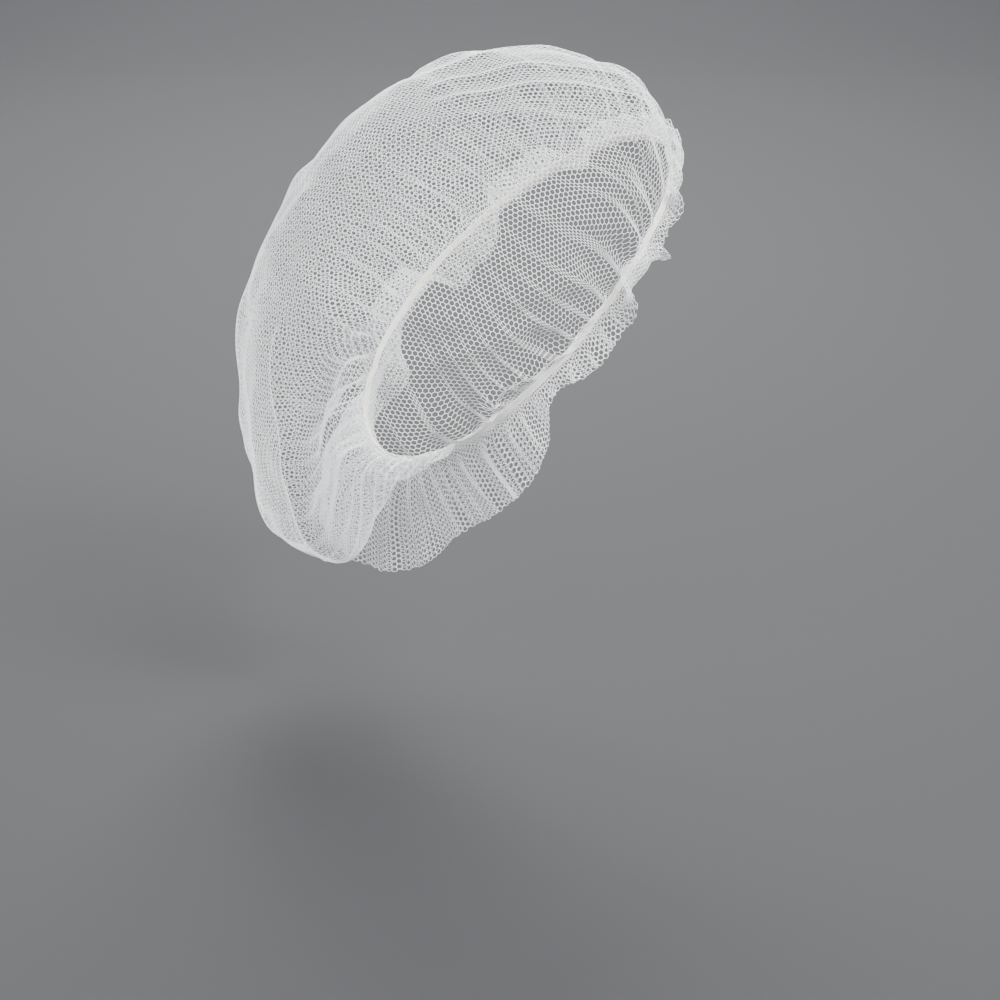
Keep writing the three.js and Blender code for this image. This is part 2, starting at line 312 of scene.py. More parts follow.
@dataclass
class NetField:
    """A piece of net in its form: a grid of points that closes round the band.

    Attributes:
        points: Points for each column and row, in the band plane's frame.
        lengths: The net's length along each column.
        runs_down: Whether the rows run down from the band instead of up, so that normals still
            point outwards.
    """

    points: np.ndarray
    lengths: np.ndarray
    runs_down: bool = False
    normals: np.ndarray = field(init=False)

    def __post_init__(self) -> None:
        """Work out the directions square to the net."""
        across = np.roll(self.points, -1, 0) - np.roll(self.points, 1, 0)
        along = np.gradient(self.points, axis=1)
        normals = np.cross(across, along) if self.runs_down else np.cross(along, across)
        self.normals = normals / np.maximum(np.linalg.norm(normals, axis=2, keepdims=True), TINY)

    def displaced(self, heights: np.ndarray) -> "NetField":
        """Push the net along its own normals by a height at each point."""
        return NetField(self.points + self.normals * heights[..., None], self.lengths, self.runs_down)

    def width_at_each(self) -> np.ndarray:
        """Give the net's width across each point for one radian round the band."""
        across = np.roll(self.points, -1, 0) - np.roll(self.points, 1, 0)
        return np.linalg.norm(across, axis=2) / (2.0 * FULL_TURN / len(self.points))

    @staticmethod
    def read(grid: np.ndarray, theta: np.ndarray, share: np.ndarray) -> np.ndarray:
        """Read a grid of values that belongs to the net, between its points too.

        Args:
            grid: Numbers or vectors for each column and row.
            theta: Angles round the band, in radians.
            share: Shares of the way along the net, from 0 to 1.

        Returns:
            The values there.
        """
        columns, rows = grid.shape[:2]
        column = theta / FULL_TURN % 1.0 * columns
        row = np.clip(share, 0.0, 1.0) * (rows - 1)
        left = np.floor(column).astype(int) % columns
        low = np.minimum(np.floor(row).astype(int), rows - 2)
        right = (left + 1) % columns
        beside = column - np.floor(column)
        above = row - low
        if grid.ndim == 3:
            beside, above = beside[:, None], above[:, None]
        lower = grid[left, low] * (1 - beside) + grid[right, low] * beside
        upper = grid[left, low + 1] * (1 - beside) + grid[right, low + 1] * beside
        return lower * (1 - above) + upper * above

    def sample(self, theta: np.ndarray, share: np.ndarray) -> tuple[np.ndarray, np.ndarray]:
        """Read points and unit normals at angles round the band and shares of the way along."""
        normals = self.read(self.normals, theta, share)
        normals /= np.maximum(np.linalg.norm(normals, axis=1, keepdims=True), TINY)
        return self.read(self.points, theta, share), normals

    def length_at(self, theta: np.ndarray) -> np.ndarray:
        """Give the net's length along it at any angle."""
        return np.interp(theta / FULL_TURN % 1.0 * len(self.lengths), np.arange(len(self.lengths) + 1),
                         np.append(self.lengths, self.lengths[0]))


@dataclass
class Pleating:
    """How slack net is taken up round the band.

    At the band it is squeezed evenly. A little further it lies in narrow pleats with open net
    between them, which wander from side to side and soften with the distance from the band.
    A place round the band is read as a phase, which grows by one from each pleat to the next.
    """

    count: int = 58
    narrowed_to: float = 0.26
    height: float = 1.1
    half_width: float = 0.15
    formed_at: float = 8.0
    softens_from: float = 14.0
    soft_at: float = 55.0
    left_when_soft: float = 0.45
    wander: float = 0.035
    wander_length: float = 15.0
    ridge_shift: float = 0.07
    # How far uneven widths move the pleats, how often round the band, and from where
    unevenness: tuple = ((0.36, 7, 0.0), (0.22, 12, 1.0))

    def phase(self, theta: np.ndarray) -> np.ndarray:
        """Give the phase at an angle, with pleats of uneven width."""
        even = self.count * theta / FULL_TURN
        return sum((far * np.sin(often * theta + start) for far, often, start in self.unevenness), even)

    def strength(self, distance: np.ndarray) -> np.ndarray:
        """Give how far the net is drawn into pleats at a distance from the band, from 0 to 1."""
        softened = (1.0 - self.left_when_soft) * smooth_step(self.softens_from, self.soft_at, distance)
        return smooth_step(0.0, self.formed_at, distance) * (1.0 - softened)

    def sideways(self, theta: np.ndarray, distance: np.ndarray) -> np.ndarray:
        """Give the angle by which the pleats have wandered at a distance from the band."""
        return self.wander * np.sin(distance / self.wander_length + 2.0 * np.sin(theta) + 4.0 * theta)

    def taken_up(self, theta: np.ndarray, fullness: np.ndarray, distance: np.ndarray) -> np.ndarray:
        """Move net from where it would lie if evenly gathered to where its pleats bring it.

        Args:
            theta: Angles round the band of evenly gathered net.
            fullness: How much wider the flat net is than its place, 1 or more.
            distance: Distances along the net from the band.

        Returns:
            The angles round the band of pleated net.
        """
        table = np.linspace(-0.5, FULL_TURN + 0.5, 8000)
        theta = theta % FULL_TURN
        sideways = self.sideways(theta, distance)
        phase = self.phase(theta + sideways)
        share = phase % 1.0
        fullness = np.maximum(fullness, 1.0)
        open_part = (1.0 - self.narrowed_to) / (fullness - self.narrowed_to)
        in_pleat = np.maximum(share - open_part, 0.0)
        moved = fullness * np.minimum(share, open_part) + self.narrowed_to * in_pleat
        pleated = np.interp(phase - share + moved, self.phase(table), table) - sideways
        return theta + (pleated - theta) * self.strength(distance)

    def ridges(self, theta: np.ndarray, fullness: np.ndarray, distance: np.ndarray) -> np.ndarray:
        """Give how far the pleats stand proud of the net."""
        from_pleat = (self.phase(theta + self.sideways(theta, distance)) + self.ridge_shift + 0.5) % 1.0 - 0.5
        proud = self.height * np.clip(fullness - 1.0, 0.0, 1.0) * self.strength(distance)
        return proud * np.exp(-((from_pleat / self.half_width) ** 2))


class Wrapped:
    """A node tree's socket on which sums can be written.

    An expression on it adds the Math nodes that work it out.
    """

    def __init__(self, tree: "Tree", socket: bpy.types.NodeSocket) -> None:
        """Keep the tree that the socket belongs to."""
        self.tree = tree
        self.socket = socket

    def _math(self, operation: str, *values: Any) -> "Wrapped":
        """Add one Math node and give its result."""
        return self.tree.add("ShaderNodeMath", dict(enumerate(values)), operation=operation)["Value"]

    def __add__(self, other: Any) -> "Wrapped":
        """Add a number or socket."""
        return self._math("ADD", self, other)

    def __rsub__(self, other: Any) -> "Wrapped":
        """Subtract this from a number."""
        return self._math("SUBTRACT", other, self)

    def __mul__(self, other: Any) -> "Wrapped":
        """Multiply by a number or socket."""
        return self._math("MULTIPLY", self, other)

    def __truediv__(self, other: Any) -> "Wrapped":
        """Divide by a number or socket."""
        return self._math("DIVIDE", self, other)

    def __mod__(self, other: Any) -> "Wrapped":
        """Give the remainder, never negative."""
        return self._math("FLOORED_MODULO", self, other)

    def rounded(self) -> "Wrapped":
        """Round to the nearest whole number."""
        return self._math("ROUND", self)

    def square_root(self) -> "Wrapped":
        """Give the square root."""
        return self._math("SQRT", self)

    def at_least(self, low: Any) -> "Wrapped":
        """Give this, or the lower limit where that is more."""
        return self._math("MAXIMUM", self, low)

    def between(self, low: float, high: float) -> "Wrapped":
        """Stretch the range 0 to 1 to low to high."""
        return self * (high - low) + low


class Added:
    """A node that was added to a tree, with its outputs by name."""

    def __init__(self, tree: "Tree", node: bpy.types.Node) -> None:
        """Keep the node and its tree."""
        self.tree = tree
        self.node = node

    def __getitem__(self, name: Union[str, int]) -> Wrapped:
        """Give an output socket by its name or place."""
        return Wrapped(self.tree, self.node.outputs[name])


class Tree:
    """A node tree under construction, for a shader or for geometry."""

    def __init__(self, tree: bpy.types.NodeTree) -> None:
        """Keep the tree that nodes are added to."""
        self.tree = tree

    def add(self, kind: str, values: Optional[dict] = None, **settings: Any) -> Added:
        """Add a node, set it up and feed its sockets.

        Args:
            kind: The node's type.
            values: Numbers, colours or wrapped links for its inputs, by name or place.
            **settings: Its settings, by attribute, which are set first.

        Returns:
            The node, whose outputs are read by name.
        """
        node = self.tree.nodes.new(kind)
        for name, setting in settings.items():
            setattr(node, name, setting)
        for name, value in (values or {}).items():
            self.feed(node.inputs[name], value)
        return Added(self, node)

    def named(self, name: str, data_type: str) -> Wrapped:
        """Read one of the mesh's own attributes."""
        return self.add("GeometryNodeInputNamedAttribute", {"Name": name}, data_type=data_type)["Attribute"]

    def feed(self, socket: bpy.types.NodeSocket, value: Any) -> None:
        """Link a wrapped socket to an input, or set the input's own value."""
        if isinstance(value, Wrapped):
            self.tree.links.new(value.socket, socket)
        else:
            socket.default_value = value


def add_object(name: str, data: bpy.types.ID) -> bpy.types.Object:
    """Add an object with its data to the scene."""
    added = bpy.data.objects.new(name, data)
    bpy.context.scene.collection.objects.link(added)
    return added


class Modeller:
    """A Geometry Nodes tree with named inputs, run once on an object."""

    def __init__(self, name: str, inputs: dict[str, Union[int, float]]) -> None:
        """Open the tree.

        Args:
            name: The tree's name.
            inputs: Value of each input after the geometry, by its name.
        """
        self.group = bpy.data.node_groups.new(name, "GeometryNodeTree")
        self.tree = Tree(self.group)
        self.values: dict[str, Any] = {}
        interface = self.group.interface
        interface.new_socket("Geometry", in_out="INPUT", socket_type="NodeSocketGeometry")
        for label, value in inputs.items():
            kind = "NodeSocketInt" if isinstance(value, int) else "NodeSocketFloat"
            item = interface.new_socket(label, in_out="INPUT", socket_type=kind)
            self.values[item.identifier] = value
        interface.new_socket("Geometry", in_out="OUTPUT", socket_type="NodeSocketGeometry")
        self.source = Added(self.tree, self.group.nodes.new("NodeGroupInput"))

    def close(self, geometry: Wrapped, material: bpy.types.Material) -> None:
        """End the tree in real meshes with a material."""
        real = self.tree.add("GeometryNodeRealizeInstances", {"Geometry": geometry})
        dressed = self.tree.add(
            "GeometryNodeSetMaterial", {"Geometry": real["Geometry"], "Material": material}
        )
        end = self.group.nodes.new("NodeGroupOutput")
        self.group.links.new(dressed["Geometry"].socket, end.inputs["Geometry"])

    def run(self, name: str, mesh: bpy.types.Mesh) -> bpy.types.Mesh:
        """Run the tree on a mesh.

        Args:
            name: Name of the mesh that comes out.
            mesh: What the tree starts from.

        Returns:
            The plain mesh that the tree made.
        """
        carrier = add_object(f"{name}_carrier", mesh)
        modifier = carrier.modifiers.new("shape", "NODES")
        modifier.node_group = self.group
        for identifier, value in self.values.items():
            modifier[identifier] = value
        depsgraph = bpy.context.evaluated_depsgraph_get()
        made = bpy.data.meshes.new_from_object(carrier.evaluated_get(depsgraph), depsgraph=depsgraph)
        made.name = name
        bpy.data.objects.remove(carrier)
        return made


def mesh_of(name: str, points: np.ndarray, faces: Iterable) -> bpy.types.Mesh:
    """Make a mesh from points and faces."""
    mesh = bpy.data.meshes.new(name)
    mesh.from_pydata(np.asarray(points).tolist(), [], [list(map(int, face)) for face in faces])
    mesh.update()
    return mesh


def points_of(mesh: bpy.types.Mesh) -> np.ndarray:
    """Read a mesh's points."""
    flat = np.empty(len(mesh.vertices) * 3)
    mesh.vertices.foreach_get("co", flat)
    return flat.reshape(-1, 3)


def cells_of(mesh: bpy.types.Mesh) -> list[list[int]]:
    """Read the corners of each of a mesh's faces."""
    corners = np.empty(len(mesh.loops), int)
    mesh.loops.foreach_get("vertex_index", corners)
    starts = np.empty(len(mesh.polygons), int)
    mesh.polygons.foreach_get("loop_start", starts)
    return [part.tolist() for part in np.split(corners, starts[1:])]


def piece(name: str, mesh: bpy.types.Mesh, slot: Slot, *nodes: str) -> bpy.types.Object:
    """Show a finished mesh as a piece of the hairnet.

    Args:
        name: The piece's name.
        mesh: Its mesh, in metres in the model's frame.
        slot: The record's material slot for the piece; not used.
        nodes: The solids that it stands for.

    Returns:
        The piece's object.
    """
    shown = add_object(name, mesh)
    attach(shown, BODY)
    if nodes:
        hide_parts(*nodes)
    triangles = sum(len(face.vertices) - 2 for face in mesh.polygons)
    log.info("%s: %d triangles", name, triangles)
    return shown


@dataclass(frozen=True)
class ClothFinish:
    """A soft finish: two colours mixed by broad and fine clouds, with a bump from the fine ones."""

    name: str
    bright: tuple
    shaded: tuple
    roughness: tuple
    broad: tuple
    fine: tuple
    fine_share: float
    bump_strength: float
    bump_distance: float
    sheen: float
    sheen_roughness: float

    def material(self) -> bpy.types.Material:
        """Make the material.

        Returns:
            The finish's material.
        """
        made = bpy.data.materials.new(self.name)
        made.use_nodes = True
        made.node_tree.nodes.clear()
        tree = Tree(made.node_tree)
        place = tree.add("ShaderNodeTexCoord")["Object"]
        broad, fine = (
            tree.add("ShaderNodeTexNoise", {"Vector": place, "Scale": scale, "Detail": detail})["Fac"]
            for scale, detail in (self.broad, self.fine)
        )
        mixed = fine * self.fine_share + broad * (1.0 - self.fine_share)
        tint = tree.add("ShaderNodeMix", {"Factor": mixed, 6: self.shaded, 7: self.bright}, data_type="RGBA")
        bump = tree.add(
            "ShaderNodeBump",
            {"Height": fine, "Strength": self.bump_strength, "Distance": self.bump_distance},
        )
        shader = tree.add(
            "ShaderNodeBsdfPrincipled",
            {
                "Base Color": tint[2],
                "Roughness": fine.between(*self.roughness),
                "Normal": bump["Normal"],
                "Sheen Weight": self.sheen,
                "Sheen Roughness": self.sheen_roughness,
            },
        )
        tree.add("ShaderNodeOutputMaterial", {"Surface": shader["BSDF"]})
        return made


@dataclass(frozen=True)
class NetFinish(ClothFinish):
    """White nylon thread with a soft sheen. Clouds are given by their scale and detail."""

    name: str = "white_nylon_net"
    bright: tuple = (0.94, 0.945, 0.95, 1.0)
    shaded: tuple = (0.80, 0.815, 0.83, 1.0)
    roughness: tuple = (0.38, 0.60)
    broad: tuple = (38.0, 3.0)
    fine: tuple = (5200.0, 1.0)
    fine_share: float = 0.3
    bump_strength: float = 0.25
    bump_distance: float = 0.00004
    sheen: float = 0.3
    sheen_roughness: float = 0.4


@dataclass(frozen=True)
class ElasticFinish(ClothFinish):
    """Covered elastic in an off-white. Clouds are given by their scale and detail."""

    name: str = "ivory_elastic"
    bright: tuple = (0.93, 0.905, 0.81, 1.0)
    shaded: tuple = (0.80, 0.77, 0.66, 1.0)
    roughness: tuple = (0.55, 0.80)
    broad: tuple = (60.0, 2.0)
    fine: tuple = (1400.0, 2.0)
    fine_share: float = 0.6
    bump_strength: float = 0.5
    bump_distance: float = 0.0001
    sheen: float = 0.2
    sheen_roughness: float = 0.5


@dataclass(frozen=True)
class FloorFinish:
    """A plain surface for the floor and the backdrop, dark enough for white net to show."""

    name: str = "plain_floor"
    colour: tuple = (0.020, 0.021, 0.023, 1.0)
    roughness: float = 0.9

    def material(self) -> bpy.types.Material:
        """Make the material.

        Returns:
            The floor's material.
        """
        made = bpy.data.materials.new(self.name)
        made.use_nodes = True
        shader = made.node_tree.nodes["Principled BSDF"]
        shader.inputs["Base Color"].default_value = self.colour
        shader.inputs["Roughness"].default_value = self.roughness
        return made


@dataclass
class Honeycomb:
    """The net's own pattern: flat cells, and the threads that they are turned into.

    Cells are laid flat first. After a form has placed their corners, each cell's rim becomes half
    a thread with its neighbour's rim as the other half.
    """

    material: bpy.types.Material
    column_spacing: float = 2.0
    stack_spacing: float = 2.33
    thread_width: float = 0.27
    narrowest_opening: float = 0.3
    half_depth: float = 0.11
    collar_width: float = 0.12
    cover: float = 0.305
    weld: float = 0.002

    @property
    def cell_area(self) -> float:
        """Give the flat area of one cell."""
        return self.column_spacing * self.stack_spacing

    def flat_cells(self, width: float, height: float, turn: float) -> tuple[np.ndarray, list[list[int]]]:
        """Lay out flat cells about the origin.

        Args:
            width: Width of the patch.
            height: Height of the patch.
            turn: Angle that the whole patch is turned by.

        Returns:
            The corners' flat places and the cells' corners.
        """
        columns = math.ceil(width / self.column_spacing) + 2
        rows = math.ceil(height / self.stack_spacing) + 2
        modeller = Modeller(
            "honeycomb_cells",
            {
                "Width": columns * self.column_spacing,
                "Height": rows * self.stack_spacing,
                "Columns": columns + 1,
                "Rows": rows + 1,
                "Column Spacing": self.column_spacing,
                "Stack Spacing": self.stack_spacing,
                "Turn": turn,
            },
        )
        tree, source = modeller.tree, modeller.source
        grid = tree.add(
            "GeometryNodeMeshGrid",
            {
                "Size X": source["Width"],
                "Size Y": source["Height"],
                "Vertices X": source["Columns"],
                "Vertices Y": source["Rows"],
            },
        )
        place = tree.add("GeometryNodeInputPosition")["Position"]
        split = tree.add("ShaderNodeSeparateXYZ", {"Vector": place})
        column = ((split["X"] + source["Width"] / 2.0) / source["Column Spacing"]).rounded()
        shift = tree.add("ShaderNodeCombineXYZ", {"Y": column % 2.0 * source["Stack Spacing"] / 2.0})
        staggered = tree.add("GeometryNodeSetPosition", {"Geometry": grid["Mesh"], "Offset": shift["Vector"]})
        triangles = tree.add(
            "GeometryNodeTriangulate", {"Mesh": staggered["Geometry"]}, quad_method="SHORTEST_DIAGONAL"
        )
        cells = tree.add("GeometryNodeDualMesh", {"Mesh": triangles["Mesh"]})
        rotation = tree.add("ShaderNodeCombineXYZ", {"Z": source["Turn"]})
        turned = tree.add(
            "GeometryNodeTransform", {"Geometry": cells["Dual Mesh"], "Rotation": rotation["Vector"]}
        )
        modeller.close(turned["Geometry"], self.material)
        made = modeller.run("flat_cells", bpy.data.meshes.new("flat_start"))
        return points_of(made)[:, :2], cells_of(made)

    def threads(self, name: str, points: np.ndarray, normals: np.ndarray, cells: list,
                collars: list) -> bpy.types.Mesh:
        """Turn placed cells into closed threads.

        Args:
            name: Name of the mesh.
            points: Places of the corners, in metres.
            normals: Directions square to the net at those corners.
            cells: The cells' corners.
            collars: The corners of the narrow faces along the rim, which have no opening.

        Returns:
            The threads' mesh.
        """
        sheet = mesh_of(f"{name}_sheet", points, [*cells, *collars])
        is_cell = sheet.attributes.new("is_cell", "BOOLEAN", "FACE")
        is_cell.data.foreach_set("value", [True] * len(cells) + [False] * len(collars))
        square = sheet.attributes.new("net_normal", "FLOAT_VECTOR", "POINT")
        square.data.foreach_set("vector", np.asarray(normals, np.float32).ravel())
        modeller = Modeller(
            "honeycomb_threads",
            {
                "Inset": self.thread_width * MM / 2.0 * SQUARE_ROOT_OF_HEXAGON,
                "Narrowest Opening": self.narrowest_opening,
                "Half Depth": self.half_depth * MM,
                "Weld": self.weld * MM,
            },
        )
        tree, source = modeller.tree, modeller.source
        raised = tree.add(
            "GeometryNodeExtrudeMesh",
            {
                "Mesh": source["Geometry"],
                "Selection": tree.named("is_cell", "BOOLEAN"),
                "Offset Scale": 0.0,
                "Individual": True,
            },
            mode="FACES",
        )
        side_length = tree.add("GeometryNodeInputMeshFaceArea")["Area"].square_root()
        opening = (1.0 - source["Inset"] / side_length).at_least(source["Narrowest Opening"])
        opened = tree.add(
            "GeometryNodeScaleElements",
            {"Geometry": raised["Mesh"], "Selection": raised["Top"], "Scale": opening},
            domain="FACE",
        )
        sides = tree.add(
            "GeometryNodeDeleteGeometry",
            {"Geometry": opened["Geometry"], "Selection": raised["Top"]},
            domain="FACE",
            mode="ALL",
        )
        modeller.close(self._both_skins(tree, source, sides["Geometry"]), self.material)
        return modeller.run(name, sheet)

    def _both_skins(self, tree: Tree, source: Added, rings: Wrapped) -> Wrapped:
        """Give flat rings of faces a raised ridge on both sides and weld the two.

        Args:
            tree: The tree that nodes are added to.
            source: The tree's inputs.
            rings: The rings round the cells' openings.

        Returns:
            The closed threads.
        """
        normal = tree.named("net_normal", "FLOAT_VECTOR")
        faces_at_edge = tree.add("GeometryNodeInputMeshEdgeNeighbors")["Face Count"]
        free_edge = tree.add(
            "FunctionNodeCompare", {2: faces_at_edge, 3: 2}, data_type="INT", operation="LESS_THAN"
        )
        marked = tree.add(
            "GeometryNodeStoreNamedAttribute",
            {"Geometry": rings, "Name": "at_edge", "Value": free_edge["Result"]},
            data_type="BOOLEAN",
            domain="POINT",
        )
        ridge = tree.add("FunctionNodeBooleanMath", {0: tree.named("at_edge", "BOOLEAN")}, operation="NOT")
        skins = []
        for side in (1.0, -1.0):
            offset = tree.add(
                "ShaderNodeVectorMath",
                {"Vector": normal, "Scale": source["Half Depth"] * side},
                operation="SCALE",
            )
            raised = tree.add(
                "GeometryNodeSetPosition",
                {"Geometry": marked["Geometry"], "Selection": ridge["Boolean"], "Offset": offset["Vector"]},
            )
            skins.append(raised["Geometry"])
        under = tree.add("GeometryNodeFlipFaces", {"Mesh": skins[1]})
        joined = tree.add("GeometryNodeJoinGeometry")
        tree.tree.links.new(skins[0].socket, joined.node.inputs[0])
        tree.tree.links.new(under["Mesh"].socket, joined.node.inputs[0])
        welded = tree.add(
            "GeometryNodeMergeByDistance", {"Geometry": joined["Geometry"], "Distance": source["Weld"]}
        )
        return welded["Geometry"]


@dataclass
class FlatNet:
    """A patch of flat honeycomb about the origin, which panels of net are cut from."""

    honeycomb: Honeycomb
    width: float
    height: float
    turn: float
    corners: np.ndarray = field(init=False)
    cells: list = field(init=False)
    centres: np.ndarray = field(init=False)

    def __post_init__(self) -> None:
        """Lay out the cells and find their middles."""
        self.corners, self.cells = self.honeycomb.flat_cells(self.width, self.height, self.turn)
        self.centres = np.array([self.corners[cell].mean(axis=0) for cell in self.cells])

    def _with_collars(self, chosen: list[list[int]]) -> tuple[np.ndarray, list, list]:
        """Add narrow faces along a panel's rim, the outer halves of the threads there.

        Args:
            chosen: The panel's cells, by the flat net's corners.

        Returns:
            The panel's own flat corners, its cells and its collars.
        """
        used = np.unique(np.concatenate(chosen))
        renumbered = np.zeros(len(self.corners), int)
        renumbered[used] = np.arange(len(used))
        flat = self.corners[used]
        cells = [renumbered[cell] for cell in chosen]
        starts = np.concatenate(cells)
        ends = np.concatenate([np.roll(cell, -1) for cell in cells])
        on_rim = ~np.isin(starts * len(used) + ends, ends * len(used) + starts)
        starts, ends = starts[on_rim], ends[on_rim]
        run = flat[ends] - flat[starts]
        away = np.stack([run[:, 1], -run[:, 0]], axis=1) / np.linalg.norm(run, axis=1, keepdims=True)
        outward = np.zeros_like(flat)
        np.add.at(outward, starts, away)
        np.add.at(outward, ends, away)
        rim = np.unique(starts)
        outer = np.zeros(len(used), int)
        outer[rim] = len(used) + np.arange(len(rim))
        lengths = np.linalg.norm(outward[rim], axis=1, keepdims=True)
        beyond = flat[rim] + outward[rim] / lengths * self.honeycomb.collar_width
        collars = np.stack([ends, starts, outer[starts], outer[ends]], axis=1)
        return np.concatenate([flat, beyond]), cells, collars.tolist()

    def cut(self, name: str, wanted: np.ndarray, place: Placing, node: str) -> bpy.types.Object:
        """Cut a panel from the flat net and bring it to its form.

        Args:
            name: The panel's name.
            wanted: Which of the cells are in it.
            place: Gives points and normals in the model's frame from flat places.
            node: The solid that the panel stands for.

        Returns:
            The panel.
        """
        chosen = [self.cells[index] for index in np.flatnonzero(wanted)]
        flat, cells, collars = self._with_collars(chosen)
        points, normals = place(flat)
        mesh = self.honeycomb.threads(name, points * MM, normals, cells, collars)
        shown = piece(name, mesh, Slot.NET, node)
        return shown


@dataclass
class Crown:
    """The loose bag of net over the crown, slack at the back and gathered on the band."""

    band: BandLoop
    pleating: Pleating
    top_height: float = 109.0
    lattice_turn: float = math.radians(44.0)
    columns: int = 2160
    rows: int = 260
    knot_power: float = 0.7
    gathers: int = 34
    gather_height: float = 1.3
    gather_grown_at: float = 8.0
    gather_fades_from: float = 16.0
    gather_gone_at: float = 52.0
    gather_drift: float = 1.4
    gather_at_band: float = 0.2
    gather_slant: float = 30.0
    slow_gathers: int = 13
    slow_gather_height: float = 1.5
    slow_gather_gone_at: float = 80.0
    slow_gather_slant: float = 40.0
    crinkle_height: float = 0.35
    crinkle_starts_at: float = 6.0
    crinkle_grown_at: float = 30.0
    calm_top: float = 0.04
    line_steps: int = 300
    theta: np.ndarray = field(init=False)
    fullness: np.ndarray = field(init=False)
    form: NetField = field(init=False)

    def __post_init__(self) -> None:
        """Work out the crown's form from its sections, folds and gathers."""
        self.theta = np.linspace(0.0, FULL_TURN, self.columns, endpoint=False)
        plain = self._plain_form()
        share = np.linspace(0.0, 1.0, self.rows)
        flat_width = plain.lengths * np.gradient(self.band.sight_angle(self.theta), self.theta)
        self.fullness = flat_width[:, None] * (1.0 - share) / np.maximum(plain.width_at_each(), 1e-6)
        above_band = plain.lengths[:, None] * share[None, :] - self.band.casing
        theta = np.repeat(self.theta[:, None], self.rows, axis=1)
        heights = self._gathers(theta, above_band) + self.pleating.ridges(theta, self.fullness, above_band)
        heights += self._folds(theta, above_band, plain.lengths - self.band.casing)
        grown = smooth_step(self.crinkle_starts_at, self.crinkle_grown_at, above_band)
        heights += self._crinkle(plain.points) * grown
        heights *= smooth_step(0.0, self.calm_top, 1.0 - share)[None, :]
        self.form = plain.displaced(heights)

    def _plain_form(self) -> NetField:
        """Lay smooth lines over the band and on to the top through the sections' stations."""
        count = len(self.theta)
        radius = self.band.radius(self.theta) + self.band.net_over
        lift = self.band.lift(self.theta)
        stations = np.zeros((count, 10, 2))
        stations[:, 0] = np.stack([radius, lift - self.band.casing / 2.0], axis=1)
        stations[:, 1] = np.stack([radius, lift + self.band.casing / 2.0], axis=1)
        stations[:, 2:8] = values_at(CROWN_SECTIONS, np.degrees(self.theta)).reshape(count, 6, 2)
        stations[:, 8] = (0.0, self.top_height)
        stations[:, 9] = stations[:, 7] * (-1.0, 1.0)
        chords = np.linalg.norm(np.diff(stations, axis=1), axis=2) ** self.knot_power
        knots = np.concatenate([np.zeros((count, 1)), np.cumsum(chords, axis=1)], axis=1)
        points = np.zeros((count, self.rows, 3))
        lengths = np.zeros(count)
        for column, theta in enumerate(self.theta):
            line, lengths[column] = self._even_line(stations[column], knots[column])
            points[column] = self.band.point(np.full(self.rows, theta), line[:, 0], line[:, 1])
        return NetField(points, lengths)

    def _even_line(self, stations: np.ndarray, knots: np.ndarray) -> tuple[np.ndarray, float]:
        """Follow one section in even steps.

        Args:
            stations: The section's (out, up) stations, the last one past the top.
            knots: Where each station lies along the line.

        Returns:
            The line's places and its length.
        """
        slopes = np.zeros_like(stations)
        slopes[1:-1] = (stations[2:] - stations[:-2]) / (knots[2:] - knots[:-2])[:, None]
        slopes[0] = (stations[1] - stations[0]) / (knots[1] - knots[0])
        along = np.linspace(0.0, knots[-2], self.line_steps)
        first = np.clip(np.searchsorted(knots, along, "right") - 1, 0, len(knots) - 3)
        length = (knots[first + 1] - knots[first])[:, None]
        part = (along - knots[first])[:, None] / length
        dense = hermite(stations[first], stations[first + 1], slopes[first], slopes[first + 1], length, part)
        travelled = np.concatenate([[0.0], np.cumsum(np.linalg.norm(np.diff(dense, axis=0), axis=1))])
        wanted = np.linspace(0.0, travelled[-1], self.rows)
        even = np.stack([np.interp(wanted, travelled, dense[:, axis]) for axis in (0, 1)], axis=1)
        return even, travelled[-1]

    def _gathers(self, theta: np.ndarray, distance: np.ndarray) -> np.ndarray:
        """Give the height of the gathers, which start at the band and fade up the net."""
        grown = smooth_step(0.0, self.gather_grown_at, distance)
        grown = self.gather_at_band + (1.0 - self.gather_at_band) * grown
        drift = self.gather_drift
        even = np.cos(self.gathers * theta + drift * np.sin(5 * theta) + distance / self.gather_slant)
        slow = self.slow_gathers * theta + drift * np.cos(3 * theta)
        slow = np.cos(slow - distance / self.slow_gather_slant)
        even_left = 1.0 - smooth_step(self.gather_fades_from, self.gather_gone_at, distance)
        slow_faded = smooth_step(self.gather_fades_from, self.slow_gather_gone_at, distance)
        slow_left = smooth_step(0.0, self.gather_fades_from, distance) * (1.0 - slow_faded)
        return self.gather_height * grown * even_left * even + self.slow_gather_height * slow_left * slow

    @staticmethod
    def _folds(theta: np.ndarray, distance: np.ndarray, lengths: np.ndarray) -> np.ndarray:
        """Give the height of the crown's soft folds, laid out flat round the top."""
        columns = len(lengths)
        to_top = lengths[:, None] - distance
        place = np.stack([to_top * np.cos(theta), to_top * np.sin(theta)], -1)
        heights = np.zeros_like(distance)
        for from_angle, from_distance, to_angle, to_distance, height, half_width in CROWN_FOLDS:
            ends = []
            for angle, from_band in ((from_angle, from_distance), (to_angle, to_distance)):
                turned = math.radians(angle)
                reach = lengths[round(turned / FULL_TURN * columns) % columns] - from_band
                ends.append(np.array([reach * math.cos(turned), reach * math.sin(turned)]))
            run = ends[1] - ends[0]
            share = np.clip(((place - ends[0]) @ run) / (run @ run), 0.0, 1.0)
            apart = np.linalg.norm(place - ends[0] - share[..., None] * run, axis=-1)
            heights += height * np.exp(-((apart / half_width) ** 2))
        return heights

